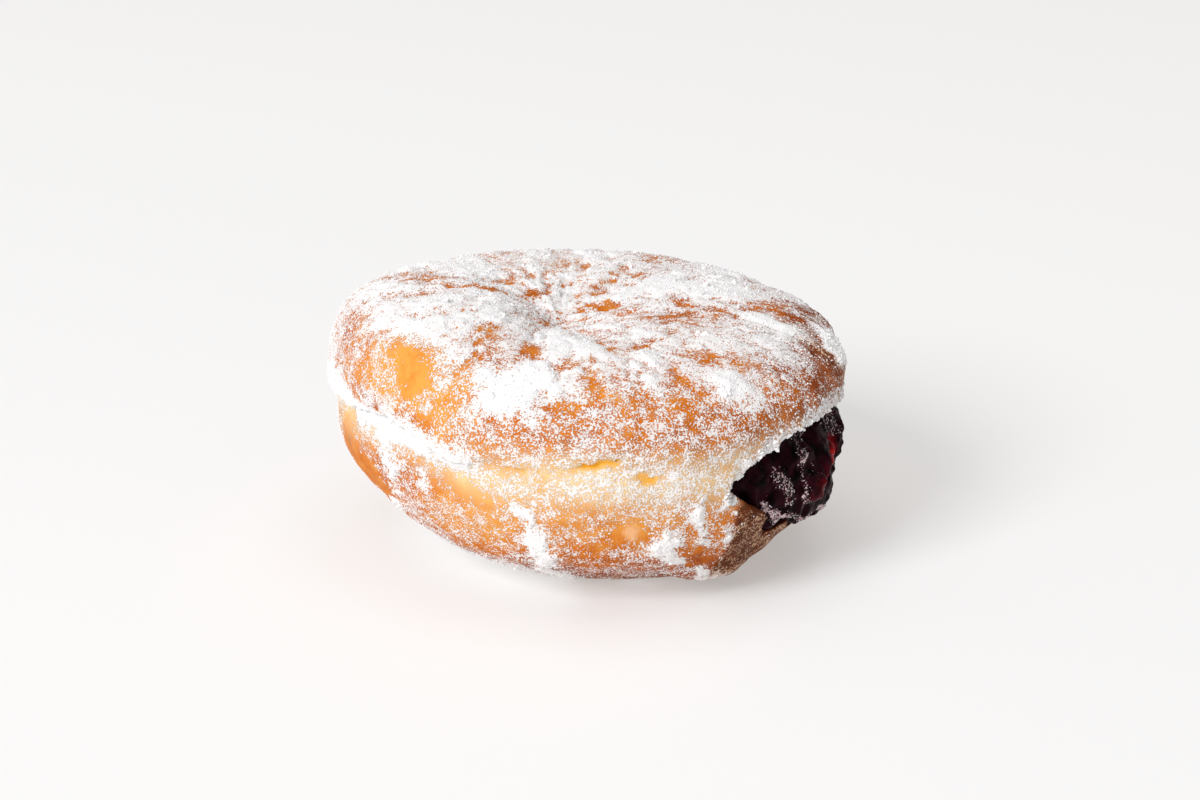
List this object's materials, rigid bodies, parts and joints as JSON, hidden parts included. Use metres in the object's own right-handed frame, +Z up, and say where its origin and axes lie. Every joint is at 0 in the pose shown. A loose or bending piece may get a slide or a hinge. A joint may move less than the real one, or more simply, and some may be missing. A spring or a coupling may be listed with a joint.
{
  "type": "raspberry bismarck doughnut",
  "caption": "Round fried yeast doughnut dusted with powdered sugar, with dark raspberry jam coming out of a mouth in its side.",
  "frame": {"origin": "on the flat base, under the middle of the doughnut's round outline", "axes": "+Z up; +X towards the side on which the jam comes out; -Y towards the viewer of the picture"},
  "size_m": [0.0975, 0.0971, 0.0513],
  "materials": {
    "sugared_dough": "matte fried crust under a patchy coat of powdered sugar",
    "raspberry_jam": "wet, near-black raspberry jam, red where it is thin"
  },
  "bodies": {
    "root": {"dough": "sugared_dough", "jam": "raspberry_jam"}
  },
  "joints": []
}
